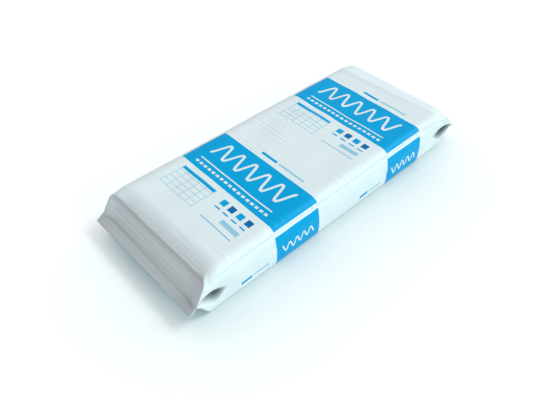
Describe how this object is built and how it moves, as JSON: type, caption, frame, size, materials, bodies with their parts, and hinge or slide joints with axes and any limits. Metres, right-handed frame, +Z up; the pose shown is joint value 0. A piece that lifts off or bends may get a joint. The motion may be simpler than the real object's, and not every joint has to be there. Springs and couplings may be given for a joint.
{
  "type": "bag of loose-fill insulation",
  "caption": "Long flat film bag packed tight with compressed loose-fill wool, with gusseted sides and a flat weld fin across each end.",
  "frame": {"origin": "middle of the flat face that the bag rests on", "axes": "+X along the length of the bag, +Y across its width, +Z up through its height"},
  "size_m": [1.322, 0.514, 0.156],
  "materials": {
    "film": "satin white polyethylene film with blue printed bands",
    "wool": "compressed off-white loose-fill wool"
  },
  "bodies": {
    "root": {"film_bag": "film", "wool_fill": "wool"}
  },
  "joints": []
}
